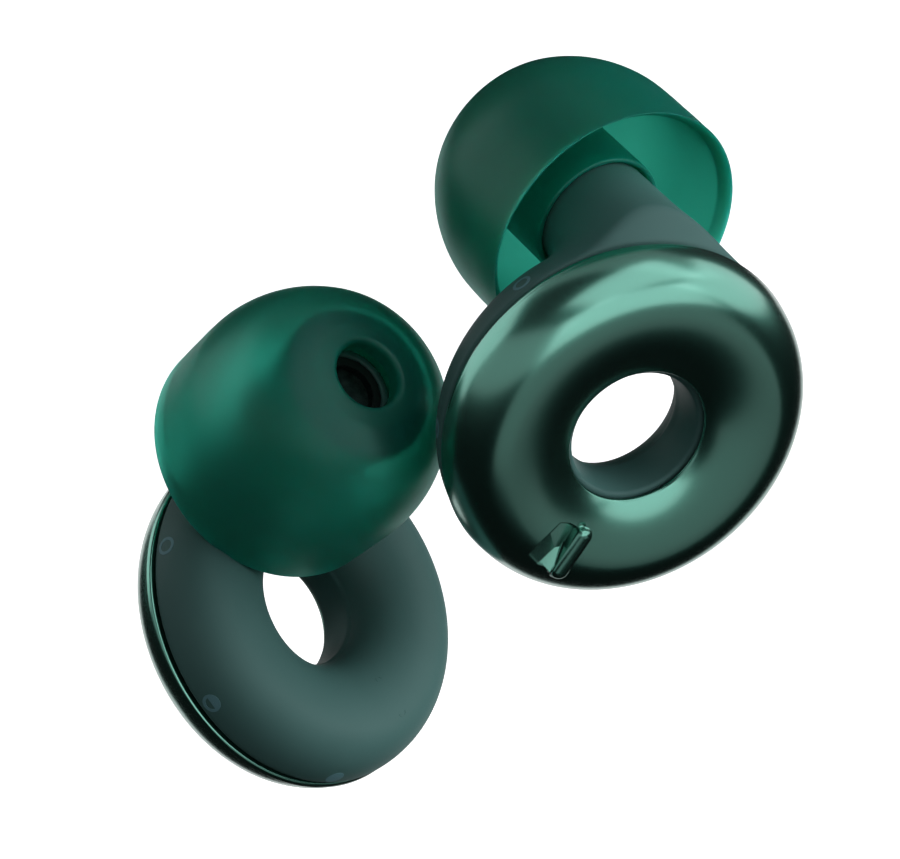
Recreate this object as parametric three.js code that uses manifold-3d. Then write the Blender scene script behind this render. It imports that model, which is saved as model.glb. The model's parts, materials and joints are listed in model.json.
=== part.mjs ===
// A pair of reusable ring-shaped ear plugs: a ring body with a hollow stem, a dial on its front half that
// turns through three sound modes, and a soft ear tip pushed onto the stem. The left plug mirrors the right.
// Millimetres, +Z up. Each plug is built in its own frame: z along the ring's axis towards the dial,
// y from the ring's centre towards the stem. The origin of the part is inside the right ear tip.
import * as THREE from "three";
import { mergeVertices } from "three/addons/utils/BufferGeometryUtils.js";
import Module from "manifold-3d";

const wasm = await Module();
wasm.setup();

// ---- driving dimensions -------------------------------------------------------------------------------
const DEG = Math.PI / 180;
const ROUND = 28; // facets of a full turn on the rings
const ROUND_SMALL = 16; // facets of a full turn on the stem, core and filter

const CREST_R = 5.9; // radius of the ring's thickest circle, front and rear
const BODY_R = 8.0; // outer radius of the rear body
const DIAL_R = 8.1; // outer radius of the dial, which stands slightly proud
const HOLE_R = 2.66; // narrowest radius of the finger hole
const REAR_H = 2.95; // height of the rear crest behind the seam
const FRONT_H = 2.45; // height of the dial's crest in front of the seam
const REAR_POWER = 2.1; // squareness of the rear's section, where 2 is an ellipse
const SEAM_BODY = -0.15; // front edge of the body; the seam stays open between it and the dial
const SEAM_DIAL = -0.05; // rear edge of the dial
const WALL = 0.6; // of the body shell
const DIAL_WALL = 0.62; // of the dial at its rim
const DIAL_LIP = { proud: 0.03, top: 0.06 }; // thin lip round the dial's rear edge

const SLEEVE_R = 3.2; // the body's sleeve through the hole, which the dial turns on
const SLEEVE_TOP = 1.4;
const SLEEVE_MOUTH_R = 2.86; // the sleeve flares to this radius at its front end
const RUNNING_GAP = 0.07;
const LEDGE_R = 7.5; // pocket in the body that takes the channel plate
const LEDGE_Z = -0.98;
const PLATE = { inner: 3.58, outer: 7.44, bottom: -0.94, top: -0.6 };
const GASKET = { inner: 4.5, outer: 6.25, bottom: -0.56, top: -0.28 };
const SHUTTER = { inner: SLEEVE_R + RUNNING_GAP, outer: 7.42, bottom: -0.23, top: 0.27 };
const RETAINER = { inner: 3.24, outer: 3.8, bottom: 0.32, top: 0.64 };

const STEM_AT = 6.38; // the stem's axis crosses the seam plane this far from the ring's centre
const STEM_LEAN_SIDE = 11.2; // degrees the stem's axis leans sideways
const STEM_LEAN_OUT = 5.2; // degrees it leans away from the ring's centre
const STEM_R = 2.62;
const STEM_SHOULDER = 5.4; // distances along the stem's axis from the seam plane
const NECK_R = 2.0;
const NECK_END = 10.4;
const STEM_BORE_R = 1.25;
const STEM_BORE_START = 1.6;
const EDGE = 0.15; // chamfer of the stem's shoulder and of the neck's end
const FILTER_POCKET_R = 1.62;
const FILTER_POCKET_DEPTH = 0.62;

// The ear tip: its core tube on the neck, and its domed skirt as [radius, distance along the stem's axis].
const CORE = {
  mouth: 4.9,
  mouthR: 2.74,
  outerR: 2.95,
  boreR: 2.12,
  boreEnd: 11.3,
  nozzleR: 1.44,
  nozzleEnd: 12.24,
};
const SKIRT_OUTSIDE = [
  [5.81, 3.59],
  [5.89, 6.6],
  [5.78, 8.0],
  [5.3, 9.6],
  [4.52, 10.92],
  [3.59, 11.74],
  [2.42, 12.17],
  [1.9, CORE.nozzleEnd],
];
const SKIRT_INSIDE = [[3.1, 8.2], [3.5, 9.5], [4.2, 9.4], [5.0, 8.3], [5.35, 6.6], [5.38, 3.62]];

const MARK_STEP = 54; // degrees between the mode marks, counted from the stem
const LAST_STOP = 164; // end of the dial's turn, in degrees from the stem; it starts at the open mark
const TAB_R_REST = 160; // where each dial's grip tab stands, in degrees from the stem
const TAB_L_REST = 150;
const RIDGE = { width: 0.7, innerR: 4.39, outerR: 6.95, top: [2.54, 2.5], edge: 0.15 };
const RECESS = { length: 2.2, width: 1.4, depth: 1, at: [5.8, 2.06], tilt: 14, slope: 2 };
const PORT_AT = [170, 200, 230]; // places of the sound ports round the channel plate
const PORT_HALF = 7; // half of a port's arc
const PORT_R = [5.0, 5.9];
const LUG_HALF = 4; // half of the stop lug's arc
const LUG_R = [6.5, 6.94];
const SLOT_R = [6.4, 7.1]; // slot in the channel plate that the stop lug runs in
const SPRING = { at: 125, half: 24, footHalf: 3, bottom: -0.5, top: -0.42, footBottom: -0.57, noseR: 0.17 };
const SPRING_R = [6.5, 7.0];
const NOSE_R = 6.75; // the spring's nose and the shutter's click notches stand on this circle
const NOTCH = { r: 0.3, below: 0.15 };

// Ring axis centres in the part's frame, and the turn of each plug.
const RIGHT_PLACE = { at: [-0.51, -5.37, -6.93], turn: [0, 13, 0] };
const LEFT_PLACE = { at: [-13.04, 1.44, -18.63], turn: [-41.5, -11.1, -149.3] };

const FINISH = {
  dial: { color: 0x3d7563, roughness: 0.28, metalness: 0.9 },
  body: { color: 0x37504e, roughness: 0.6, metalness: 0 },
  tip: { color: 0x1d6350, roughness: 0.45, metalness: 0 },
  inner: { color: 0x2b2f30, roughness: 0.6, metalness: 0 },
  steel: { color: 0xb4b8ba, roughness: 0.35, metalness: 1 },
  seal: { color: 0x1c1f20, roughness: 0.8, metalness: 0 },
  mesh: { color: 0x50585a, roughness: 0.5, metalness: 0.6 },
};

// ---- solids -------------------------------------------------------------------------------------------
function solid(geometry) {
  const bare = geometry.clone();
  bare.deleteAttribute("normal");
  bare.deleteAttribute("uv");
  const merged = mergeVertices(bare, 1e-4);
  return new wasm.Manifold(
    new wasm.Mesh({
      numProp: 3,
      vertProperties: merged.attributes.position.array,
      triVerts: new Uint32Array(merged.index.array),
    }),
  );
}

function geometryOf(manifold) {
  const mesh = manifold.getMesh();
  const geometry = new THREE.BufferGeometry();
  geometry.setAttribute("position", new THREE.BufferAttribute(mesh.vertProperties, 3));
  geometry.setIndex(new THREE.BufferAttribute(mesh.triVerts, 1));
  geometry.computeVertexNormals();
  return geometry;
}

// A profile of [radius, height] points, turned about the z axis. A profile that doesn't start on the axis
// is closed on itself. Its points may run either way round.
function revolve(profile, facets) {
  const area = profile.reduce((sum, [r, h], i) => {
    const [nextR, nextH] = profile[(i + 1) % profile.length];
    return sum + r * nextH - nextR * h;
  }, 0);
  const points = profile.map(([r, h]) => new THREE.Vector2(r, h));
  if (area < 0) points.reverse();
  if (points[0].x > 0) points.push(points[0].clone());
  return new THREE.LatheGeometry(points, facets).rotateX(Math.PI / 2);
}

// Points of a quarter of a squared ellipse about (centre, 0), from one angle to another in degrees.
function arc(centre, halfWidth, height, power, from, to, steps) {
  const squared = (v) => Math.sign(v) * Math.abs(v) ** (2 / power);
  return Array.from({ length: steps + 1 }, (_, i) => {
    const angle = (from + ((to - from) * i) / steps) * DEG;
    return [centre + halfWidth * squared(Math.cos(angle)), height * squared(Math.sin(angle))];
  });
}

// An arc-shaped window between two radii, as a hole or an outline. Angles in degrees.
function window(shape, [inner, outer], at, half) {
  shape.absarc(0, 0, outer, (at - half) * DEG, (at + half) * DEG, false);
  shape.absarc(0, 0, inner, (at + half) * DEG, (at - half) * DEG, true);
  shape.closePath();
  return shape;
}

function windowBlock(radii, at, half, bottom, top) {
  const settings = { depth: top - bottom, bevelEnabled: false, curveSegments: 3 };
  const geometry = new THREE.ExtrudeGeometry(window(new THREE.Shape(), radii, at, half), settings);
  return geometry.translate(0, 0, bottom);
}

function flatRing({ inner, outer, bottom, top }) {
  return revolve([[inner, bottom], [outer, bottom], [outer, top], [inner, top]], ROUND);
}

function cut(base, ...tools) {
  return tools.reduce((left, tool) => left.subtract(solid(tool)), base);
}

// Moves a shape built about its own z axis onto the stem's axis, z running into the ear.
const STEM_DIRECTION = new THREE.Vector3(
  -Math.tan(STEM_LEAN_SIDE * DEG),
  Math.tan(STEM_LEAN_OUT * DEG),
  -1,
).normalize();

function onStem(geometry) {
  const turn = new THREE.Quaternion().setFromUnitVectors(new THREE.Vector3(0, 0, 1), STEM_DIRECTION);
  return geometry.applyQuaternion(turn).translate(0, STEM_AT, 0);
}

// ---- the pieces of one plug, in its own frame ---------------------------------------------------------
function bodyShell() {
  const rear = [
    ...arc(CREST_R, BODY_R - CREST_R, REAR_H, REAR_POWER, -4, -90, 5),
    ...arc(CREST_R, CREST_R - HOLE_R, REAR_H, REAR_POWER, -104, -180, 5),
  ];
  const sleeve = [[SLEEVE_MOUTH_R, SLEEVE_TOP], [SLEEVE_R, SLEEVE_TOP], [SLEEVE_R, SEAM_BODY]];
  const ring = solid(revolve([[BODY_R, SEAM_BODY], ...rear, ...sleeve], ROUND));
  const stem = solid(
    onStem(
      revolve(
        [
          [0, 0.3],
          [STEM_R - 0.5, 0.3],
          [STEM_R, 1.2],
          [STEM_R, STEM_SHOULDER - EDGE],
          [STEM_R - EDGE, STEM_SHOULDER],
          [NECK_R, STEM_SHOULDER],
          [NECK_R, NECK_END - EDGE],
          [NECK_R - EDGE, NECK_END],
          [0, NECK_END],
        ],
        ROUND_SMALL,
      ),
    ),
  );
  // The stem blends into the ring, so nothing of it stands outside the ring's circle at the seam.
  const flare = [[BODY_R, SEAM_BODY], [BODY_R + 0.75, -0.9], [BODY_R + 1.6, -2.2], [BODY_R + 4, -12]];
  const blendLimit = solid(revolve([[0, SEAM_BODY], ...flare, [0, -12]], ROUND));
  const cavity = revolve(
    [
      [SLEEVE_R, 1],
      [LEDGE_R, 1],
      [LEDGE_R, LEDGE_Z],
      ...arc(CREST_R, BODY_R - CREST_R - 1.5 * WALL, REAR_H - WALL, REAR_POWER, -26, -90, 3),
      ...arc(CREST_R, CREST_R - HOLE_R - WALL, REAR_H - WALL, REAR_POWER, -112, -165, 3),
      [SLEEVE_R, -0.3],
    ],
    ROUND,
  );
  const bore = new THREE.CylinderGeometry(STEM_BORE_R, STEM_BORE_R, NECK_END, ROUND_SMALL)
    .rotateX(Math.PI / 2)
    .translate(0, 0, NECK_END / 2 + STEM_BORE_START);
  const pocketDepth = FILTER_POCKET_DEPTH + 1;
  const filterPocket = new THREE.CylinderGeometry(FILTER_POCKET_R, FILTER_POCKET_R, pocketDepth, ROUND_SMALL)
    .rotateX(Math.PI / 2)
    .translate(0, 0, NECK_END - FILTER_POCKET_DEPTH + pocketDepth / 2);
  return cut(ring.add(stem.intersect(blendLimit)), cavity, onStem(bore), onStem(filterPocket));
}

function dialCover() {
  const outer = [
    [DIAL_R - DIAL_WALL, SEAM_DIAL],
    [DIAL_R + DIAL_LIP.proud, SEAM_DIAL],
    [DIAL_R + DIAL_LIP.proud, DIAL_LIP.top],
    ...arc(CREST_R, DIAL_R - CREST_R, FRONT_H, 2, 12, 90, 5),
    ...arc(CREST_R, 3.86, FRONT_H, 2, 100, 139, 4),
    [2.98, 1.56],
    [2.98, 1.46],
    [3.45, 1.46],
  ];
  const inner = [[4.0, 1.66], [4.9, 1.88], ...arc(CREST_R, DIAL_R - CREST_R - DIAL_WALL, 1.98, 2, 90, 6, 4)];
  const shell = solid(revolve([...outer, ...inner], ROUND));

  // The grip tab: a straight ridge across the dial's crest, which ends square above the outer slope.
  const { innerR, outerR, edge } = RIDGE;
  const [innerTop, outerTop] = RIDGE.top;
  const crown = [[innerR, 2.0], [innerR, innerTop - edge], [innerR + edge, innerTop]];
  const outerEnd = [[outerR - edge, outerTop], [outerR, outerTop - edge], [outerR, 1.75]];
  const outline = [...crown, ...outerEnd, [5.0, 2.0]].map(([r, h]) => new THREE.Vector2(r, h));
  const settings = { depth: RIDGE.width, bevelEnabled: false };
  const ridge = new THREE.ExtrudeGeometry(new THREE.Shape(outline), settings)
    .translate(0, 0, -RIDGE.width / 2)
    .rotateX(Math.PI / 2);

  // The thumb recess beside the ridge, deepest against it.
  const recess = new THREE.BoxGeometry(RECESS.length, RECESS.width, RECESS.depth)
    .translate(0, -RECESS.width / 2, RECESS.depth / 2)
    .rotateX(-RECESS.tilt * DEG)
    .rotateY(RECESS.slope * DEG)
    .translate(RECESS.at[0], -RIDGE.width / 2, RECESS.at[1]);
  return cut(shell, recess).add(solid(ridge));
}

function shutterRing() {
  const openTab = MARK_STEP;
  const ports = [PORT_AT[1] - MARK_STEP, ...PORT_AT].map((at) => at - 90 - openTab);
  const { bottom, top } = SHUTTER;
  const holes = ports.map((at) => windowBlock(PORT_R, at, PORT_HALF, bottom - 1, top + 1));
  // Click notches face the spring's nose at each of the three modes.
  const notches = [1, 2, 3].map((mode) => {
    const at = (SPRING.at - 90 - MARK_STEP * mode) * DEG;
    const notch = new THREE.SphereGeometry(NOTCH.r, 8, 6);
    return notch.translate(NOSE_R * Math.cos(at), NOSE_R * Math.sin(at), bottom - NOTCH.below);
  });
  const lug = windowBlock(LUG_R, 180, LUG_HALF, PLATE.bottom + 0.06, bottom + 0.1);
  return cut(solid(flatRing(SHUTTER)).add(solid(lug)), ...holes, ...notches);
}

function channelPlate() {
  const ports = PORT_AT.map((at) => windowBlock(PORT_R, at, PORT_HALF, -2, 0));
  const first = MARK_STEP + 90 + 180 - LUG_HALF;
  const last = LAST_STOP + 90 + 180 + LUG_HALF;
  const slot = windowBlock(SLOT_R, (first + last) / 2, (last - first) / 2 + 0.5, -2, 0);
  return cut(solid(flatRing(PLATE)), ...ports, slot);
}

function gasket() {
  const ports = PORT_AT.map((at) => windowBlock([4.9, 6.0], at, PORT_HALF + 1, -2, 0));
  return cut(solid(flatRing(GASKET)), ...ports);
}

function clickSpring() {
  const { at, half, footHalf, bottom, top, footBottom, noseR } = SPRING;
  const leaf = solid(windowBlock(SPRING_R, at, half, bottom, top));
  const foot = windowBlock(SPRING_R, at - half + footHalf, footHalf, footBottom, bottom + 0.05);
  const nose = new THREE.SphereGeometry(noseR, 8, 6);
  nose.translate(NOSE_R * Math.cos(at * DEG), NOSE_R * Math.sin(at * DEG), top);
  return leaf.add(solid(foot)).add(solid(nose));
}

function earTip() {
  const { mouth, mouthR, outerR, boreR, boreEnd, nozzleR, nozzleEnd } = CORE;
  const bore = [[nozzleR, nozzleEnd], [nozzleR, boreEnd], [boreR, boreEnd], [boreR, 5.95], [mouthR, 5.75]];
  const mouthEdge = [[mouthR, mouth + 0.08], [mouthR + 0.1, mouth], [outerR, mouth + 0.1]];
  return solid(onStem(revolve([...SKIRT_OUTSIDE, ...bore, ...mouthEdge, ...SKIRT_INSIDE], ROUND)));
}

function filterDisc(outer, inner, bottom, top) {
  const profile = inner
    ? [[inner, bottom], [outer, bottom], [outer, top], [inner, top]]
    : [[0, bottom], [outer, bottom], [outer, top], [0, top]];
  return solid(onStem(revolve(profile, ROUND_SMALL)));
}

// ---- assembly -----------------------------------------------------------------------------------------
const pair = new THREE.Group();
pair.name = "ear_plug_pair";

function addPlug(side, place, mirror, tabRest) {
  const plug = new THREE.Group();
  plug.position.set(...place.at);
  plug.rotation.set(...place.turn.map((angle) => angle * DEG));
  const upright = new THREE.Group();
  upright.rotation.x = Math.PI / 2;
  const handed = new THREE.Group();
  handed.scale.x = mirror;
  const dial = new THREE.Group();
  dial.rotation.z = (90 + tabRest) * DEG;
  pair.add(plug);
  plug.add(upright);
  upright.add(handed);
  handed.add(dial);

  const add = (group, name, piece, finish) => {
    const mesh = new THREE.Mesh(geometryOf(piece), new THREE.MeshStandardMaterial(FINISH[finish]));
    mesh.name = `${side}_${name}`;
    group.add(mesh);
  };
  const pocketFloor = NECK_END - FILTER_POCKET_DEPTH;
  const discR = FILTER_POCKET_R - 0.04;
  add(handed, "body_shell", bodyShell(), "body");
  add(handed, "channel_plate", channelPlate(), "inner");
  add(handed, "port_gasket", gasket(), "seal");
  add(handed, "click_spring", clickSpring(), "steel");
  add(handed, "retaining_ring", solid(flatRing(RETAINER)), "steel");
  add(handed, "filter_mesh", filterDisc(discR, 0, pocketFloor + 0.04, pocketFloor + 0.18), "mesh");
  add(handed, "filter_ring", filterDisc(discR, 1.2, pocketFloor + 0.22, NECK_END - 0.03), "inner");
  add(handed, "ear_tip", earTip(), "tip");
  add(dial, "dial_cover", dialCover(), "dial");
  add(dial, "shutter_ring", shutterRing(), "inner");
}

addPlug("right", RIGHT_PLACE, 1, TAB_R_REST);
addPlug("left", LEFT_PLACE, -1, TAB_L_REST);

export default pair;
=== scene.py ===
"""A pair of ring-shaped ear plugs with a mode dial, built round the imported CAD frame.

Each plug's shapes are worked out in its own frame, in millimetres: z along the ring's axis towards the dial,
y from the ring's centre towards the stem, x to the side. The left plug mirrors the right.
"""

import json
import math

import bpy
import numpy as np
from mathutils import Euler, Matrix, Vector


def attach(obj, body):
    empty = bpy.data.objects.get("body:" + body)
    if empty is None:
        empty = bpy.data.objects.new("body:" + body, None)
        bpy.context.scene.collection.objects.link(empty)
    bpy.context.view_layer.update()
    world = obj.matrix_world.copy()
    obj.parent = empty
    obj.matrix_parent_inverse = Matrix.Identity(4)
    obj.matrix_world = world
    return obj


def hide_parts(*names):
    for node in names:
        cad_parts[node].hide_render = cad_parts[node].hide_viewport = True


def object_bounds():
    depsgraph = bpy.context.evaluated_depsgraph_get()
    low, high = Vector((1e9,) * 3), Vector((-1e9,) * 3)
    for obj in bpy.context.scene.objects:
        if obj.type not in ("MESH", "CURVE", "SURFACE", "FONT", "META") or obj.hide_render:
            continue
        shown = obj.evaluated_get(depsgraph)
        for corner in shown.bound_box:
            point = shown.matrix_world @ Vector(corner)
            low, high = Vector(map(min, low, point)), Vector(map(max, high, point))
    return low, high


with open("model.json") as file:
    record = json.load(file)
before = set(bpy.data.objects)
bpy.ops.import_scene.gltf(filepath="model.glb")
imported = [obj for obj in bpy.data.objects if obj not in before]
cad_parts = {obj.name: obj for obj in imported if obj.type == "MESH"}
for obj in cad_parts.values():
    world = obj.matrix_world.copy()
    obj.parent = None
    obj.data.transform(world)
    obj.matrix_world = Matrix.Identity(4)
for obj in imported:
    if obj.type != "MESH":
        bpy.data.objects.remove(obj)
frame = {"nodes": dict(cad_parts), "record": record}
cad_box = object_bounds()
MM = 0.001

# ---- sizes of one plug, in millimetres --------------------------------------------------------------------
CREST_R = 5.9  # radius of the ring's thickest circle
BODY_R = 8.04  # outer radius of the body's half of the ring
DIAL_R = 8.1
DIAL_INNER_REACH = 3.86  # how far the dial's front curve would reach inwards from the crest circle
HOLE_R = 2.66  # finger hole at its narrowest
REAR_H = 2.95  # height of the ring behind the seam plane, and in front of it
FRONT_H = 2.45
REAR_POWER = 2.1  # squareness of the body's section: 2 is an ellipse
SLEEVE_R = 3.2  # tube that lines the finger hole
SLEEVE_TOP = 1.4
WALL = 0.6  # thickness of the body shell at its back
SEAM_BODY = -0.26  # front edge of the body at the seam
SEAM_DIAL = -0.05  # rear edge of the dial at the seam
POCKET_R = 7.5  # the pocket behind the seam that takes the channel plate
POCKET_Z = -0.98

STEM_R = 2.62
STEM_SHOULDER = 5.4  # measured along the stem's axis from the seam plane
NECK_R = 2.0
NECK_END = 10.4
BARB = {"at": 9.3, "height": 0.07, "length": 0.45}  # soft ring on the neck that grips the ear tip
FILTER_POCKET = 9.78  # where the filter's pocket in the neck starts
FILTER_R = 1.62
BORE_R = 1.25  # sound channel
BORE_START = 1.6

TIP_MOUTH = 4.9  # open end of the core tube
TIP_END = 12.24
TIP_BORE_R = 2.12
CORE_R = 2.97
NOZZLE_R = 1.44  # sound hole
NOZZLE_STEP = 11.3  # where the wider bore narrows to the nozzle

MARK_STEP = 53  # degrees from one mode mark to the next
FIRST_MARK = {"right": 46.5, "left": 55}  # degrees from the stem to the open mark
MARK_R = 0.42
MARK_STROKE = 0.14
MARK_AT = 0.82  # distance of the marks' centres behind the seam, along the surface
SIDE_MARK = {"angle": 188, "from": 3.7, "to": 5.5, "half": 0.2, "stroke": 0.05, "spacing": 9}
PRINT = {"root": -0.04, "top": 0.012}  # height of the prints' two faces above the body's skin


# ---- plug frames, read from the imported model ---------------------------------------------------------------
def joint(name):
    return next(j for j in frame["record"]["behaviour"]["joints"] if j["name"] == name)


def node_points(name):
    mesh = frame["nodes"][name].data
    points = np.empty(len(mesh.vertices) * 3)
    mesh.vertices.foreach_get("co", points)
    return points.reshape(-1, 3) / MM


class Plug:
    """One plug's frame: its ring's centre, its own axes, the stem's axis and where the dial's tab stands."""

    def __init__(self, side, turn_joint, pull_joint, front_sign, pull_sign, mirror):
        self.side = side
        self.mirror = mirror
        turn = joint(turn_joint)
        self.centre = np.array(turn["pos_m"]) / MM
        self.z = front_sign * np.array(turn["axis"], float)
        stem_way = pull_sign * np.array(joint(pull_joint)["axis"], float)
        filter_centre = node_points(f"{side}_filter_mesh").mean(axis=0)
        back_to_seam = (filter_centre - self.centre) @ self.z / (stem_way @ self.z)
        stem_root = filter_centre - stem_way * back_to_seam
        self.stem_at = float(np.linalg.norm(stem_root - self.centre))
        self.y = (stem_root - self.centre) / self.stem_at
        self.x = mirror * np.cross(self.y, self.z)
        self.axes = np.stack([self.x, self.y, self.z])
        self.stem_way = self.axes @ stem_way
        self.tab = self.tab_angle()

    def to_local(self, points):
        return (points - self.centre) @ self.axes.T

    def to_world(self, points):
        return (np.asarray(points) @ self.axes + self.centre) * MM

    def tab_angle(self):
        """The grip tab is all that stands above the dial's crest, so its top gives its direction."""
        points = self.to_local(node_points(f"{self.side}_dial_cover"))
        top = points[points[:, 2] > FRONT_H + 0.04].mean(axis=0)
        return math.atan2(top[1], top[0])


right = Plug("right", "right_dial_turn", "right_tip_pull", 1, 1, 1)
left = Plug("left", "left_dial_turn", "left_body_pull", -1, -1, -1)
PLUGS = [right, left]


# ---- materials ---------------------------------------------------------------------------------------------
def new_material(name):
    material = bpy.data.materials.new(name)
    material.use_nodes = True
    nodes = material.node_tree.nodes
    return material, nodes, material.node_tree.links, nodes["Principled BSDF"]


def noise(nodes, links, scale, detail=3.0, roughness=0.5):
    place = nodes.new("ShaderNodeTexCoord")
    texture = nodes.new("ShaderNodeTexNoise")
    texture.inputs["Scale"].default_value = scale
    texture.inputs["Detail"].default_value = detail
    texture.inputs["Roughness"].default_value = roughness
    links.new(place.outputs["Object"], texture.inputs["Vector"])
    return texture.outputs["Fac"]


def ramp(nodes, links, source, *stops):
    """Colours along a ramp: each stop is (position, colour)."""
    node = nodes.new("ShaderNodeValToRGB")
    while len(node.color_ramp.elements) < len(stops):
        node.color_ramp.elements.new(0.5)
    for element, (position, colour) in zip(node.color_ramp.elements, stops):
        element.position = position
        element.color = (*colour, 1)
    links.new(source, node.inputs["Fac"])
    return node.outputs["Color"]


def grey_ramp(nodes, links, source, low, high):
    return ramp(nodes, links, source, (0.3, (low,) * 3), (0.7, (high,) * 3))


def bump(nodes, links, shader, source, strength, distance_mm):
    node = nodes.new("ShaderNodeBump")
    node.inputs["Strength"].default_value = strength
    node.inputs["Distance"].default_value = distance_mm * MM
    links.new(source, node.inputs["Height"])
    links.new(node.outputs["Normal"], shader.inputs["Normal"])


def metallic_coating():
    """Satin-gloss green metallic coating: fine flake under a thin clear coat."""
    material, nodes, links, shader = new_material("green_metallic_coating")
    cloud = noise(nodes, links, 90, 2)
    colour = ramp(nodes, links, cloud, (0.35, (0.078, 0.315, 0.243)), (0.65, (0.086, 0.33, 0.256)))
    links.new(colour, shader.inputs["Base Color"])
    flake = noise(nodes, links, 4000, 2, 0.6)
    links.new(grey_ramp(nodes, links, flake, 0.25, 0.27), shader.inputs["Roughness"])
    shader.inputs["Metallic"].default_value = 1
    shader.inputs["Coat Weight"].default_value = 1.0
    shader.inputs["Coat IOR"].default_value = 1.75
    shader.inputs["Coat Roughness"].default_value = 0.2
    return material


def soft_touch(name, low, high):
    """Matte moulded plastic with a fine even grain."""
    material, nodes, links, shader = new_material(name)
    cloud = noise(nodes, links, 160, 3)
    links.new(ramp(nodes, links, cloud, (0.35, low), (0.65, high)), shader.inputs["Base Color"])
    grain = noise(nodes, links, 14000, 2, 0.6)
    links.new(grey_ramp(nodes, links, grain, 0.48, 0.58), shader.inputs["Roughness"])
    bump(nodes, links, shader, grain, 0.04, 0.006)
    shader.inputs["Specular IOR Level"].default_value = 0.16
    return material


def silicone():
    """Translucent satin silicone: it scatters some of the light and tints what passes through."""
    material, nodes, links, shader = new_material("emerald_silicone")
    cloud = noise(nodes, links, 120, 3)
    colour = ramp(nodes, links, cloud, (0.35, (0.007, 0.29, 0.225)), (0.65, (0.01, 0.32, 0.25)))
    links.new(colour, shader.inputs["Base Color"])
    skin = noise(nodes, links, 5000, 3, 0.6)
    roughness = grey_ramp(nodes, links, skin, 0.34, 0.4)
    links.new(roughness, shader.inputs["Roughness"])
    bump(nodes, links, shader, skin, 0.03, 0.01)
    shader.inputs["Subsurface Weight"].default_value = 1.0
    shader.inputs["Subsurface Radius"].default_value = (0.3, 1.0, 0.8)
    shader.inputs["Subsurface Scale"].default_value = 1.2 * MM
    shader.inputs["Specular IOR Level"].default_value = 0.3
    clear = nodes.new("ShaderNodeBsdfGlass")
    clear.inputs["IOR"].default_value = 1.36
    clear.inputs["Color"].default_value = (0.35, 0.86, 0.76, 1)
    links.new(roughness, clear.inputs["Roughness"])
    mix = nodes.new("ShaderNodeMixShader")
    mix.inputs["Fac"].default_value = 0.62
    links.new(shader.outputs["BSDF"], mix.inputs[1])
    links.new(clear.outputs["BSDF"], mix.inputs[2])
    absorb = nodes.new("ShaderNodeVolumeAbsorption")
    absorb.inputs["Color"].default_value = (0.05, 0.6, 0.54, 1)
    absorb.inputs["Density"].default_value = 2600
    links.new(mix.outputs["Shader"], nodes["Material Output"].inputs["Surface"])
    links.new(absorb.outputs["Volume"], nodes["Material Output"].inputs["Volume"])
    return material


def plain_metal(name, low, high, roughness):
    material, nodes, links, shader = new_material(name)
    streak = noise(nodes, links, 2500, 4, 0.7)
    links.new(ramp(nodes, links, streak, (0.3, low), (0.7, high)), shader.inputs["Base Color"])
    links.new(grey_ramp(nodes, links, streak, roughness - 0.08, roughness + 0.08), shader.inputs["Roughness"])
    bump(nodes, links, shader, streak, 0.08, 0.01)
    shader.inputs["Metallic"].default_value = 1
    return material


MATERIALS = {
    "dial_metallic": metallic_coating(),
    "body_matte": soft_touch("soft_touch_teal", (0.055, 0.135, 0.128), (0.062, 0.147, 0.14)),
    "tip_silicone": silicone(),
    "inner_plastic": soft_touch("dark_plastic", (0.003, 0.009, 0.008), (0.005, 0.013, 0.011)),
    "spring_steel": plain_metal("spring_steel", (0.45, 0.46, 0.47), (0.62, 0.63, 0.64), 0.32),
    "seal_rubber": soft_touch("black_rubber", (0.008, 0.008, 0.009), (0.014, 0.014, 0.015)),
    "filter_mesh": plain_metal("filter_wire", (0.01, 0.022, 0.02), (0.03, 0.055, 0.05), 0.4),
}
MARK_INK = soft_touch("mark_ink", (0.11, 0.25, 0.285), (0.125, 0.275, 0.31))


# ---- mesh making -------------------------------------------------------------------------------------------
def new_piece(name, points, faces, plug, body, slot, material=None, replaces=(), smooth=True):
    """A mesh piece from a plug's own millimetre points, riding on a CAD body."""
    if plug.mirror < 0:
        faces = [face[::-1] for face in faces]
    mesh = bpy.data.meshes.new(name)
    mesh.from_pydata(plug.to_world(points).tolist(), [], faces)
    if smooth:
        mesh.shade_smooth()
    mesh.materials.append(material or MATERIALS[slot])
    piece = bpy.data.objects.new(name, mesh)
    bpy.context.scene.collection.objects.link(piece)
    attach(piece, body)
    if replaces:
        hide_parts(*replaces)
    return piece


def grid_faces(rows, columns, close_rows=True, close_columns=True):
    """Quads over a grid of points numbered row by row."""
    row_count = rows if close_rows else rows - 1
    column_count = columns if close_columns else columns - 1
    i, j = np.meshgrid(np.arange(row_count), np.arange(column_count), indexing="ij")
    i2, j2 = (i + 1) % rows, (j + 1) % columns
    quads = np.stack([i * columns + j, i2 * columns + j, i2 * columns + j2, i * columns + j2], axis=-1)
    return quads.reshape(-1, 4).tolist()


def revolve(profile, angles):
    """Points of a closed profile of [radius, height] turned through a full circle of angles, and their faces.
    The profile runs so that its inside lies on its left."""
    profile = np.asarray(profile, float)
    r, h = profile[:, 0], profile[:, 1]
    points = np.stack(
        [np.outer(np.cos(angles), r), np.outer(np.sin(angles), r), np.outer(np.ones_like(angles), h)], axis=-1
    )
    return points.reshape(-1, 3), grid_faces(len(angles), len(profile))


def ellipse_arc(centre, half_width, height, power, start, end, count):
    """Points of a squared ellipse about (centre, 0) between two angles in degrees."""
    t = np.radians(np.linspace(start, end, count))
    c, s = np.cos(t), np.sin(t)
    x = np.sign(c) * np.abs(c) ** (2 / power)
    y = np.sign(s) * np.abs(s) ** (2 / power)
    return np.stack([centre + half_width * x, height * y], axis=-1)


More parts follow.
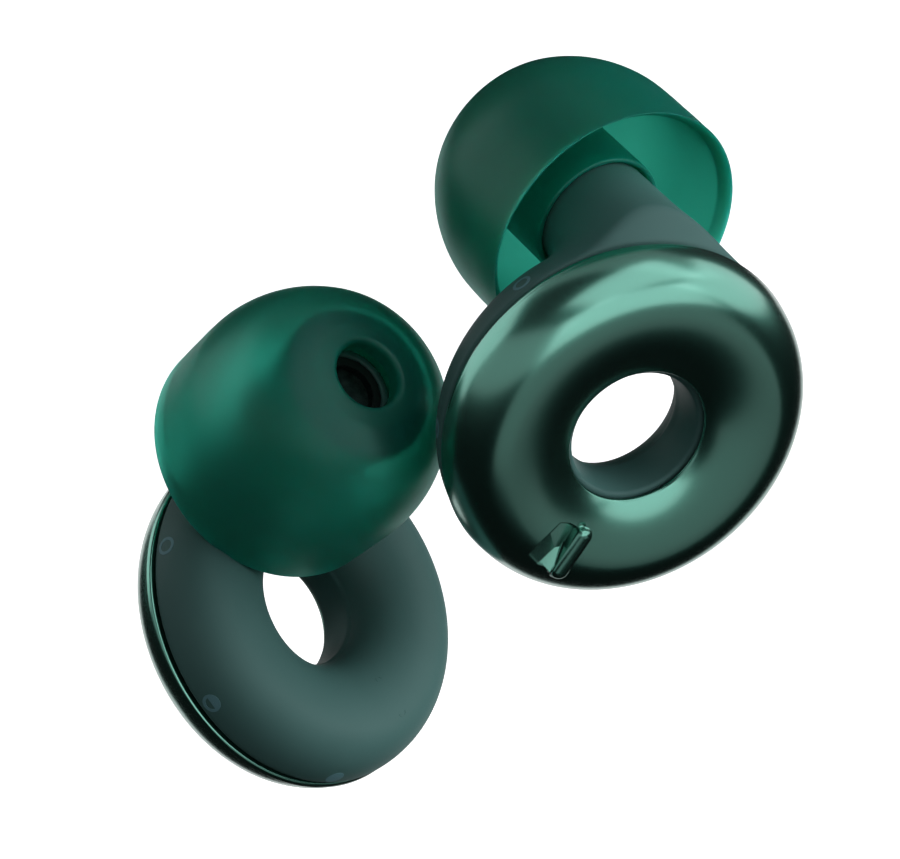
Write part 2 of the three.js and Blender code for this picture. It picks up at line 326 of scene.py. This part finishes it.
def smooth_curve(points, per_span):
    """A Catmull-Rom curve through the given points."""
    p = np.asarray(points, float)
    p = np.vstack([2 * p[0] - p[1], p, 2 * p[-1] - p[-2]])
    spans = []
    for a, b, c, d in zip(p[:-3], p[1:-2], p[2:-1], p[3:]):
        t = np.linspace(0, 1, per_span, endpoint=False)[:, None]
        bend, twist = 2 * a - 5 * b + 4 * c - d, 3 * b - a - 3 * c + d
        spans.append(0.5 * (2 * b + (c - a) * t + bend * t**2 + twist * t**3))
    return np.vstack([*spans, p[-2:-1]])


def rounded(points, radius, steps=4):
    """The corners of an open line of points, each replaced by a small curve that starts radius from it."""
    p = np.asarray(points, float)
    made = [p[0]]
    for before, corner, after in zip(p[:-2], p[1:-1], p[2:]):
        into, out = before - corner, after - corner
        reach_in = min(radius, np.linalg.norm(into) / 2)
        reach_out = min(radius, np.linalg.norm(out) / 2)
        start = corner + into / np.linalg.norm(into) * reach_in
        end = corner + out / np.linalg.norm(out) * reach_out
        for t in np.linspace(0, 1, steps + 1):
            made.append((1 - t) ** 2 * start + 2 * t * (1 - t) * corner + t**2 * end)
    return np.array([*made, p[-1]])


def along_stem(plug, points):
    """Points made about their own z axis, moved onto the stem's axis of a plug."""
    way = plug.stem_way
    side = np.cross([0, 1, 0], way)
    side /= np.linalg.norm(side)
    other = np.cross(way, side)
    return np.asarray(points) @ np.stack([side, other, way]) + [0, plug.stem_at, 0]


# ---- dial --------------------------------------------------------------------------------------------------
# Radii are from the ring's axis; "aside" is measured from the ridge's middle line towards its recess.
RIDGE = {"from": 4.74, "to": 6.6, "half": 0.36, "top": (2.54, 2.5), "round": 0.3, "fillet": 0.06}
RIDGE_BURIED = 1.2  # how far the ridge reaches down into the dial
RECESS = {"radius": 6.6, "aside": 1.1, "floor": 2.21, "inner": 4.75, "width": 1.02, "widening": 0.456}
WALL_SLOPE = {"inner": 2.6, "far": 1.5, "ridge": 9, "lip": 5}
SHELF_SLOPE = (0.247, 0.112)  # rise of the recess's floor outwards, and away from the ridge
RAMP_SLOPE = (0.411, -0.195)
RAMP_LIP = {"radius": 6.61, "aside": 1.08, "slant": 0.283, "start": 0.42, "end": 1.2}
DIMPLE = {"radius": 4.41, "aside": 0.27, "size": 0.17, "depth": 0.16}
SKIN_ABOVE = 0.6  # the recess is cut into skin above this height only


def dial_profile():
    """The dial's section: its outer skin from the seam lip over the crest to the hole, then back inside."""
    lip = rounded([[DIAL_R - 0.3, SEAM_DIAL], [DIAL_R - 0.03, SEAM_DIAL], [DIAL_R + 0.01, 0.18]], 0.12, 8)
    outer = ellipse_arc(CREST_R, DIAL_R - CREST_R, FRONT_H, 2, 6, 89, 100)
    inner = ellipse_arc(CREST_R, DIAL_INNER_REACH, FRONT_H, 2, 90, 136.5, 100)
    edge = rounded([inner[-1], [3.04, 1.6], [3.05, 1.5], [3.45, 1.5]], 0.07)[1:]
    roof = ellipse_arc(CREST_R, 1.58, 1.98, 2, 90, 6, 12)
    inside = [[4.0, 1.66], [4.9, 1.88], *roof, [DIAL_R - 0.62, SEAM_DIAL]]
    return np.vstack([lip, outer, inner, edge, inside]), len(lip) + len(outer) + len(inner)


def soft_min(a, b, sharpness=40.0):
    """The smaller of two heights, with a rounded crease where they cross."""
    low = np.minimum(a, b)
    return low - np.log1p(np.exp(-sharpness * np.abs(a - b))) / sharpness


def cut_recess(radius, across, level):
    """Cuts the thumb recess beside the ridge into the dial's skin: a nearly level shelf and a ramp that climbs
    along the ridge to a lip. Walls close its inner end and far side, and a dimple ends the ridge."""
    aside = -across
    out, off = radius - RECESS["radius"], aside - RECESS["aside"]
    shelf = RECESS["floor"] + SHELF_SLOPE[0] * out + SHELF_SLOPE[1] * off
    climb = RECESS["floor"] + RAMP_SLOPE[0] * out + RAMP_SLOPE[1] * off
    far_edge = RECESS["width"] + RECESS["widening"] * (radius - RECESS["inner"])
    inner_wall = WALL_SLOPE["inner"] * np.maximum(RECESS["inner"] - radius, 0)
    far_wall = WALL_SLOPE["far"] * np.maximum(aside - far_edge, 0)
    ridge_wall = WALL_SLOPE["ridge"] * np.maximum(-aside, 0)
    limit = np.maximum(shelf, climb) + inner_wall + far_wall + ridge_wall
    near = (level > SKIN_ABOVE) & (np.abs(across) < 3) & (radius > 3.8) & (limit - level < 0.3)
    cut = np.where(near, soft_min(level, limit), level)
    cut = raise_lip(radius, aside, level, climb, cut)
    off_dimple = np.hypot(aside - DIMPLE["aside"], radius - DIMPLE["radius"]) / DIMPLE["size"]
    return cut - np.where(level > SKIN_ABOVE, DIMPLE["depth"] * np.exp(-(off_dimple**4)), 0)


def raise_lip(radius, aside, level, climb, cut):
    """The ramp's outer end stands a little above the dial's round skin, and falls off steeply at its edge."""
    edge = RAMP_LIP["radius"] + RAMP_LIP["slant"] * (RAMP_LIP["aside"] - aside)
    beyond = WALL_SLOPE["lip"] * np.maximum(radius - edge, 0)
    short = WALL_SLOPE["lip"] * np.maximum(RAMP_LIP["start"] - aside, 0)
    here = (radius > CREST_R) & (level > 1) & (aside > -1) & (aside < RAMP_LIP["end"])
    return np.where(here, np.maximum(cut, climb - beyond - short), cut)


def skin_height(radius, across):
    """Height of the dial's front skin, with its recess, at a radius and a distance across the tab."""
    half_width = np.where(radius > CREST_R, DIAL_R - CREST_R, DIAL_INNER_REACH)
    level = FRONT_H * np.sqrt(np.clip(1 - ((radius - CREST_R) / half_width) ** 2, 0, 1))
    return cut_recess(radius, across, level)


def turned_to_tab(points, plug):
    c, s = math.cos(plug.tab), math.sin(plug.tab)
    return points @ np.array([[c, s, 0], [-s, c, 0], [0, 0, 1]])


def ridge_outline(offset, height_of):
    """A closed ring of points round the ridge's middle line, with half-round ends."""
    t = np.linspace(0, math.pi, 24)
    cap = np.stack([np.sin(t), np.cos(t)], axis=-1)
    way = np.vstack([cap, -cap])
    spine = np.repeat([RIDGE["to"], RIDGE["from"]], len(t))
    plan = np.stack([spine + way[:, 0] * offset, way[:, 1] * offset], axis=-1)
    return np.column_stack([plan, height_of(plan[:, 0], plan[:, 1])])


def grip_ridge(plug):
    """The tab's ridge: a round-topped bar with half-round ends and a small fillet where it meets the dial."""
    half, fillet = RIDGE["half"], RIDGE["fillet"]
    foot = ridge_outline(half, skin_height)
    base = foot[:, 2]
    share = (foot[:, 0] - RIDGE["from"]) / (RIDGE["to"] - RIDGE["from"])
    top = RIDGE["top"][0] + share * (RIDGE["top"][1] - RIDGE["top"][0])
    rise = np.minimum(RIDGE["round"], np.maximum(top - base - fillet, 0.05))
    rings = [
        ridge_outline(0.05, lambda r, a: top - RIDGE_BURIED),
        ridge_outline(half + 1.6 * fillet, lambda r, a: skin_height(r, a) - 0.05),
        ridge_outline(half + fillet, lambda r, a: skin_height(r, a) + 0.004),
        ridge_outline(half + 0.3 * fillet, lambda r, a: base + 0.3 * fillet),
        ridge_outline(half, lambda r, a: base + fillet),
    ]
    for turn in np.radians(np.linspace(0, 90, 12)):
        inset = half - RIDGE["round"] * (1 - math.cos(turn)) if turn < 1.5 else 0.002
        rings.append(ridge_outline(max(inset, 0.002), lambda r, a: top - rise * (1 - math.sin(turn))))
    points = turned_to_tab(np.vstack(rings), plug)
    faces = [face[::-1] for face in grid_faces(len(rings), len(foot), close_rows=False)]
    new_piece(f"{plug.side}_dial_ridge", points, faces, plug, f"{plug.side}_dial", "dial_metallic")


def dial_cover(plug):
    profile, skin_count = dial_profile()
    fine = np.radians(np.arange(-30, 12, 0.25))
    coarse = np.radians(np.arange(12, 330, 2))
    angles = np.concatenate([fine, coarse])
    points, faces = revolve(profile, angles)
    skin = points.reshape(len(angles), len(profile), 3)[:, :skin_count]
    radius = np.hypot(skin[..., 0], skin[..., 1])
    skin[..., 2] = cut_recess(radius, np.arctan2(skin[..., 1], skin[..., 0]) * radius, skin[..., 2])
    points = turned_to_tab(points, plug)
    name, replaced = f"{plug.side}_dial_skin", [f"{plug.side}_dial_cover"]
    new_piece(name, points, faces, plug, f"{plug.side}_dial", "dial_metallic", replaces=replaced)


# ---- body shell, as one smooth surface from distance functions --------------------------------------------
def smooth_min(a, b, k):
    h = np.clip(0.5 + 0.5 * (b - a) / k, 0, 1)
    return b + (a - b) * h - k * h * (1 - h)


def smooth_max(a, b, k):
    return -smooth_min(-a, -b, k)


def half_torus(radius, z, outer, inner, height):
    """Below zero inside a squared torus about the crest circle."""
    x = radius - CREST_R
    half_width = np.where(x > 0, outer, inner)
    level = (np.abs(x / half_width) ** REAR_POWER + np.abs(z / height) ** REAR_POWER) ** (1 / REAR_POWER)
    return (level - 1) * 2.3


def body_outside(radius, z, s, stem_r):
    """Ring, blended stem, neck with its barb and the sleeve in the finger hole, all as solid shapes."""
    ring = half_torus(radius, z, BODY_R - CREST_R, CREST_R - HOLE_R, REAR_H)
    stem = smooth_max(stem_r - STEM_R, s - STEM_SHOULDER, 0.12)
    skin = smooth_min(ring, stem, 1.5)
    behind_seam = SEAM_BODY - z
    skin = smooth_max(skin, radius - BODY_R - 1.1 * np.maximum(behind_seam, 0), 0.25)
    skin = smooth_max(skin, -behind_seam, 0.1)

    barb = BARB["height"] * np.exp(-(((s - BARB["at"]) / BARB["length"]) ** 2))
    neck_side = np.maximum(stem_r - NECK_R - barb, STEM_SHOULDER - 1 - s)
    skin = smooth_min(skin, smooth_max(neck_side, s - NECK_END, 0.15), 0.08)

    hole = HOLE_R + 0.2 * np.clip(z / SLEEVE_TOP, 0, 1) ** 2
    sleeve_side = np.maximum(radius - SLEEVE_R, hole - radius)
    sleeve = smooth_max(sleeve_side, np.maximum(z - SLEEVE_TOP, -0.6 - z), 0.1)
    return smooth_min(skin, sleeve, 0.05)


def body_hollow(radius, z, s, stem_r):
    """Cavity and plate pocket behind the seam, the sound channel and the filter's pocket."""
    cavity = half_torus(radius, z, 1.2, 2.62, REAR_H - WALL)
    pocket_side = np.maximum(radius - POCKET_R, SLEEVE_R - radius)
    pocket = np.maximum(pocket_side, np.maximum(POCKET_Z - z, z - 1))
    sleeve_wall = SLEEVE_R + 0.02 - radius
    hollow = np.minimum(np.maximum(np.maximum(cavity, z), sleeve_wall), pocket)
    bore = np.maximum(stem_r - BORE_R, BORE_START - s)
    filter_pocket = np.maximum(stem_r - FILTER_R, FILTER_POCKET - s)
    return np.minimum(np.minimum(hollow, bore), filter_pocket)


def body_distance(plug, p):
    """Below zero inside the body shell's plastic."""
    radius = np.hypot(p[..., 0], p[..., 1])
    from_root = p - np.array([0, plug.stem_at, 0])
    s = from_root @ plug.stem_way
    stem_r = np.linalg.norm(from_root - s[..., None] * plug.stem_way, axis=-1)
    measures = radius, p[..., 2], s, stem_r
    return np.maximum(body_outside(*measures), -body_hollow(*measures))


def sample_grid(distance, low, high, step):
    """Values of a distance function at the corners of a grid of cells."""
    axes = [np.arange(a, b + step, step) for a, b in zip(low, high)]
    values = np.empty(tuple(len(a) for a in axes), np.float32)
    for i, x in enumerate(axes[0]):
        plane = np.stack(np.meshgrid([x], axes[1], axes[2], indexing="ij"), axis=-1)
        values[i] = distance(plane)[0]
    return values


def cell_points(values):
    """Which cells the surface crosses, and a point in each at the mean of its edges' crossings, in cells."""
    inside = values < 0
    cell_shape = tuple(n - 1 for n in values.shape)
    total = np.zeros((*cell_shape, 3), np.float32)
    crossings = np.zeros(cell_shape, np.int16)

    def window(array, at):
        return array[tuple(slice(o, o + n) for o, n in zip(at, cell_shape))]

    corners = [(i, j, k) for i in (0, 1) for j in (0, 1) for k in (0, 1)]
    for a, axis in ((a, axis) for a in corners for axis in range(3) if not a[axis]):
        b = tuple(v + (n == axis) for n, v in enumerate(a))
        va, vb = window(values, a), window(values, b)
        crossed = window(inside, a) != window(inside, b)
        share = np.where(crossed, va / np.where(crossed, va - vb, 1), 0)
        for n in range(3):
            total[..., n] += np.where(crossed, a[n] + (share if n == axis else 0), 0)
        crossings += crossed
    active = crossings > 0
    return active, np.argwhere(active) + total[active] / crossings[active][:, None]


def net_faces(inside, index):
    """A quad of the four cells round each grid edge that the surface crosses, facing outwards."""
    faces = []
    for axis in range(3):
        u, v = (axis + 1) % 3, (axis + 2) % 3
        near = [slice(1, n - 1) for n in inside.shape]
        near[axis] = slice(0, inside.shape[axis] - 1)
        far = list(near)
        far[axis] = slice(1, inside.shape[axis])
        a, b = inside[tuple(near)], inside[tuple(far)]
        at = np.argwhere(a != b)
        at[:, u] += 1
        at[:, v] += 1
        quad = []
        for du, dv in ((-1, -1), (0, -1), (0, 0), (-1, 0)):
            cell = at.copy()
            cell[:, u] += du
            cell[:, v] += dv
            quad.append(index[tuple(cell.T)])
        quad = np.stack(quad, axis=-1)
        backwards = ~a[a != b]
        quad[backwards] = quad[backwards][:, ::-1]
        faces.append(quad)
    return np.vstack(faces)


def settled(distance, points, longest):
    """The points after three steps down the distance function's slope towards its zero level."""
    for _ in range(3):
        here = distance(points)
        nudges = np.eye(3) * 0.005
        slope = np.stack([(distance(points + d) - distance(points - d)) / 0.01 for d in nudges], axis=-1)
        length = np.maximum((slope**2).sum(axis=-1), 0.05)
        move = -here[:, None] * slope / length[:, None]
        reach = np.linalg.norm(move, axis=1, keepdims=True)
        points = points + move * np.minimum(1, longest / np.maximum(reach, 1e-9))
    return points


def surface_net(distance, low, high, step):
    """Quads round the zero level of a distance function, with one point in each grid cell it crosses."""
    values = sample_grid(distance, low, high, step)
    active, in_cells = cell_points(values)
    index = np.full(active.shape, -1, np.int64)
    index[active] = np.arange(active.sum())
    faces = net_faces(values < 0, index)
    return settled(distance, in_cells * step + np.array(low), 0.5 * step), faces.tolist()


def body_shells():
    """The right body's surface is worked out once, and the left one is its mirror image."""
    step = 0.12
    low = [-BODY_R - 1.2, -BODY_R - 0.4, -NECK_END - 0.4]
    high = [BODY_R + 0.4, BODY_R + 2.4, SLEEVE_TOP + 0.3]
    points, faces = surface_net(lambda p: body_distance(right, p), low, high, step)
    for plug in PLUGS:
        name, replaced = f"{plug.side}_body_skin", [f"{plug.side}_body_shell"]
        new_piece(name, points, faces, plug, f"{plug.side}_body", "body_matte", replaces=replaced)


# ---- ear tip -----------------------------------------------------------------------------------------------
def tip_profile():
    """The ear tip's section along its axis: dome, nozzle, bore, mouth, core, skirt's inside and rim."""
    dome = smooth_curve(
        [
            [5.84, 3.62],
            [5.87, 4.6],
            [5.88, 5.6],
            [5.89, 6.6],
            [5.84, 7.65],
            [5.6, 8.76],
            [5.17, 9.86],
            [4.52, 10.92],
            [3.59, 11.74],
            [2.55, 12.15],
            [2.0, TIP_END - 0.02],
        ],
        9,
    )
    nozzle = rounded([[2.0, TIP_END - 0.02], [NOZZLE_R, TIP_END], [NOZZLE_R, 11.5]], 0.4, 8)
    step = rounded(
        [[NOZZLE_R, 11.5], [NOZZLE_R, NOZZLE_STEP], [TIP_BORE_R, NOZZLE_STEP], [TIP_BORE_R, 6.0]], 0.12
    )
    mouth = rounded(
        [[TIP_BORE_R, 6.0], [2.74, 5.7], [2.74, TIP_MOUTH], [2.95, TIP_MOUTH + 0.02], [CORE_R, 5.4]], 0.1
    )
    inside = smooth_curve(
        [
            [CORE_R, 5.4],
            [2.98, 8.0],
            [3.0, 10.4],
            [3.13, 11.08],
            [3.45, 11.24],
            [4.08, 10.74],
            [4.78, 9.74],
            [5.2, 8.4],
            [5.4, 6.6],
            [5.44, 4.5],
        ],
        7,
    )
    rim = rounded([[5.44, 4.5], [5.42, 4.06], [5.77, 3.56], [5.85, 3.5], [5.85, 3.62]], 0.08, 5)
    return np.vstack([dome[:-1], nozzle[:-1], step[:-1], mouth[:-1], inside[:-1], rim[:-1]])


def ear_tip(plug):
    points, faces = revolve(tip_profile(), np.linspace(0, 2 * math.pi, 180, endpoint=False))
    points = along_stem(plug, points)
    name, replaced = f"{plug.side}_tip_skin", [f"{plug.side}_ear_tip"]
    new_piece(name, points, faces, plug, f"{plug.side}_tip", "tip_silicone", replaces=replaced)


# ---- mode marks and side marks -----------------------------------------------------------------------------
def rear_line():
    """The body's rear section from the seam over the crest, as points and their distance along it."""
    outer = ellipse_arc(CREST_R, BODY_R - CREST_R, REAR_H, REAR_POWER, -2, -90, 90)
    inner = ellipse_arc(CREST_R, CREST_R - HOLE_R, REAR_H, REAR_POWER, -91, -170, 90)
    line = np.vstack([outer, inner])
    run = np.concatenate([[0], np.cumsum(np.linalg.norm(np.diff(line, axis=0), axis=1))])
    return line, run


def on_rear(angle, distance, lift):
    """Points on the body's rear at an angle round the ring and a distance along its section from the seam."""
    line, run = rear_line()
    slope = np.gradient(line, run, axis=0)
    r, z = (np.interp(distance, run, line[:, n]) for n in (0, 1))
    out_r, out_z = -np.interp(distance, run, slope[:, 1]), np.interp(distance, run, slope[:, 0])
    r, z = r + lift * out_r, z + lift * out_z
    return np.stack([r * np.cos(angle), r * np.sin(angle), z], axis=-1)


def printed_shape(plug, name, outline, inner, angle, distance, material):
    """A thin raised print between two closed outlines of (across, along) points, on the body's rear."""
    centre_r = np.interp(distance, rear_line()[1], rear_line()[0][:, 0])
    layers = []
    root, top = PRINT["root"], PRINT["top"]
    for lift, line in ((root, outline), (top, outline), (top, inner), (root, inner)):
        layers.append(on_rear(angle + line[:, 0] / centre_r, distance + line[:, 1], lift))
    faces = grid_faces(4, len(outline))
    body = f"{plug.side}_body"
    return new_piece(name, np.vstack(layers), faces, plug, body, "body_matte", material, smooth=False)


def circle(radius, count=48):
    t = np.linspace(0, 2 * math.pi, count, endpoint=False)
    return np.stack([radius * np.cos(t), radius * np.sin(t)], axis=-1)


def half_disc(radius, count=24):
    t = np.linspace(0, math.pi, count)
    bow = np.stack([np.cos(t), np.sin(t)], axis=-1) * radius
    chord = np.stack([np.linspace(-radius, radius, count), np.zeros(count)], axis=-1)
    return np.vstack([bow, chord[1:-1]])


def capsule(half, half_length, count=16):
    t = np.linspace(0, math.pi, count)
    cap = np.stack([np.cos(t) * half, np.sin(t) * half + half_length], axis=-1)
    return np.vstack([cap, -cap])


def mode_marks(plug):
    """Open ring, half-filled ring and full dot, one at each of the dial's three clicks."""
    for number, kind in enumerate(("open", "half", "full")):
        angle = math.radians(90 + FIRST_MARK[plug.side] + MARK_STEP * number)
        name = f"{plug.side}_mark_{kind}"
        hole = 0.01 if kind == "full" else MARK_R - MARK_STROKE
        printed_shape(plug, name, circle(MARK_R), circle(hole), angle, MARK_AT, MARK_INK)
        if kind == "half":
            fill = half_disc(MARK_R - MARK_STROKE / 2)
            printed_shape(plug, name + "_fill", fill, fill * 0.02 + [0, 0.1], angle, MARK_AT, MARK_INK)


def side_marks(plug):
    """A plain raised bar outline tells the sides apart: one on the left plug and two on the right."""
    middle = (SIDE_MARK["from"] + SIDE_MARK["to"]) / 2
    half_length = (SIDE_MARK["to"] - SIDE_MARK["from"]) / 2
    bars = [0] if plug.side == "left" else [-0.5, 0.5]
    for number, shift in enumerate(bars, start=1):
        angle = math.radians(90 + SIDE_MARK["angle"] + shift * SIDE_MARK["spacing"])
        outline = capsule(SIDE_MARK["half"], half_length)
        inner = capsule(SIDE_MARK["half"] - SIDE_MARK["stroke"], half_length)
        name = f"{plug.side}_side_mark_{number}"
        printed_shape(plug, name, outline, inner, angle, middle, MATERIALS["body_matte"])


# ---- stage, lights and camera ------------------------------------------------------------------------------
PAIR = (cad_box[0] + cad_box[1]) / 2  # middle of the arrangement
CAMERA_AT = Vector((-36.9, -83.2, 44.3)) * MM
CAMERA_TURN = (58.75, -0.75, -19.78)  # degrees
LENS = 95.1  # focal length in millimetres, on a sensor 36 mm wide
LIGHT_DISTANCE = 0.35


def make_camera():
    data = bpy.data.cameras.new("camera")
    data.lens = LENS
    data.sensor_width = 36
    data.clip_start = 0.005
    data.clip_end = 5
    camera = bpy.data.objects.new("camera", data)
    camera.location = CAMERA_AT
    camera.rotation_euler = Euler([math.radians(a) for a in CAMERA_TURN])
    bpy.context.scene.collection.objects.link(camera)
    bpy.context.scene.camera = camera


def softbox(name, azimuth, elevation, width_deg, height_deg, radiance, matte=True, gloss=True):
    """A rectangular light at an azimuth from the front, towards +X, sized by the angle that it covers.
    It can be left out of the light on matte surfaces or out of the reflections on glossy ones."""
    a, e = math.radians(azimuth), math.radians(elevation)
    way = Vector((math.sin(a) * math.cos(e), -math.cos(a) * math.cos(e), math.sin(e)))
    data = bpy.data.lights.new(name, "AREA")
    data.shape = "RECTANGLE"
    data.size = 2 * LIGHT_DISTANCE * math.tan(math.radians(width_deg / 2))
    data.size_y = 2 * LIGHT_DISTANCE * math.tan(math.radians(height_deg / 2))
    data.energy = radiance * math.pi * data.size * data.size_y
    light = bpy.data.objects.new(name, data)
    light.location = PAIR + way * LIGHT_DISTANCE
    light.rotation_euler = way.to_track_quat("Z", "Y").to_euler()
    light.visible_diffuse = matte
    light.visible_glossy = gloss
    bpy.context.scene.collection.objects.link(light)


def make_world():
    """A dim studio, soft grey above the horizon and near black below. The white backdrop is only seen
    directly or through something clear."""
    world = bpy.data.worlds.new("studio")
    bpy.context.scene.world = world
    world.use_nodes = True
    nodes, links = world.node_tree.nodes, world.node_tree.links
    place = nodes.new("ShaderNodeTexCoord")
    split = nodes.new("ShaderNodeSeparateXYZ")
    shift = nodes.new("ShaderNodeMapRange")
    shift.inputs["From Min"].default_value = -1
    links.new(place.outputs["Generated"], split.inputs["Vector"])
    links.new(split.outputs["Z"], shift.inputs["Value"])
    dark, dim = (0.01,) * 3, (0.04,) * 3
    colour = ramp(nodes, links, shift.outputs["Result"], (0.38, dark), (0.6, dim))
    rays = nodes.new("ShaderNodeLightPath")
    seen = nodes.new("ShaderNodeMath")
    seen.operation = "MAXIMUM"
    links.new(rays.outputs["Is Camera Ray"], seen.inputs[0])
    links.new(rays.outputs["Is Transmission Ray"], seen.inputs[1])
    backdrop = nodes.new("ShaderNodeMix")
    backdrop.data_type = "RGBA"
    backdrop.inputs["B"].default_value = (0.9, 0.9, 0.9, 1)
    links.new(seen.outputs["Value"], backdrop.inputs["Factor"])
    links.new(colour, backdrop.inputs["A"])
    links.new(backdrop.outputs["Result"], nodes["Background"].inputs["Color"])


def make_floor():
    """A pale glowing table far enough below the pair to take no hard shadow."""
    size, drop = 3.0, 0.03  # metres
    z = cad_box[0].z - drop
    mesh = bpy.data.meshes.new("floor")
    corners = [(-size, -size, z), (size, -size, z), (size, size, z), (-size, size, z)]
    mesh.from_pydata(corners, [], [(0, 1, 2, 3)])
    material, nodes, links, shader = new_material("pale_floor")
    shader.inputs["Base Color"].default_value = (0.9, 0.9, 0.9, 1)
    shader.inputs["Roughness"].default_value = 0.9
    shader.inputs["Emission Color"].default_value = (1, 1, 1, 1)
    shader.inputs["Emission Strength"].default_value = 0.9
    mesh.materials.append(material)
    floor = bpy.data.objects.new("floor", mesh)
    bpy.context.scene.collection.objects.link(floor)
    floor.visible_diffuse = False
    floor.visible_glossy = False


def light_set():
    softbox("front_box", 15, 25, 60, 38, 1.4, matte=False)
    softbox("front_low_box", 10, -15, 60, 38, 0.3, matte=False)
    softbox("left_fill", -60, 25, 90, 38, 0.45)
    softbox("back_left_box", -132, 20, 46, 46, 1.15, matte=False)
    softbox("right_box", 80, 25, 60, 38, 1.3, matte=False)
    softbox("top_box", 36, 65, 60, 38, 1.3, matte=False)
    softbox("top_back_box", 140, 62, 90, 38, 0.3, matte=False)
    softbox("back_glow", 160, -40, 80, 56, 0.8)
    softbox("key", 66, 12, 50, 50, 4.4, gloss=False)
    softbox("top_soft", 36, 62, 60, 50, 0.6, gloss=False)


def dress_cad_nodes():
    slots = {entry["node"]: entry["material_slot"] for entry in frame["record"]["subparts"]}
    for name, node in frame["nodes"].items():
        node.data.materials.clear()
        node.data.materials.append(MATERIALS[slots[name]])


bpy.context.scene.view_settings.view_transform = "Standard"
make_camera()
make_world()
make_floor()
light_set()
dress_cad_nodes()
body_shells()
for each_plug in PLUGS:
    dial_cover(each_plug)
    grip_ridge(each_plug)
    ear_tip(each_plug)
    mode_marks(each_plug)
    side_marks(each_plug)
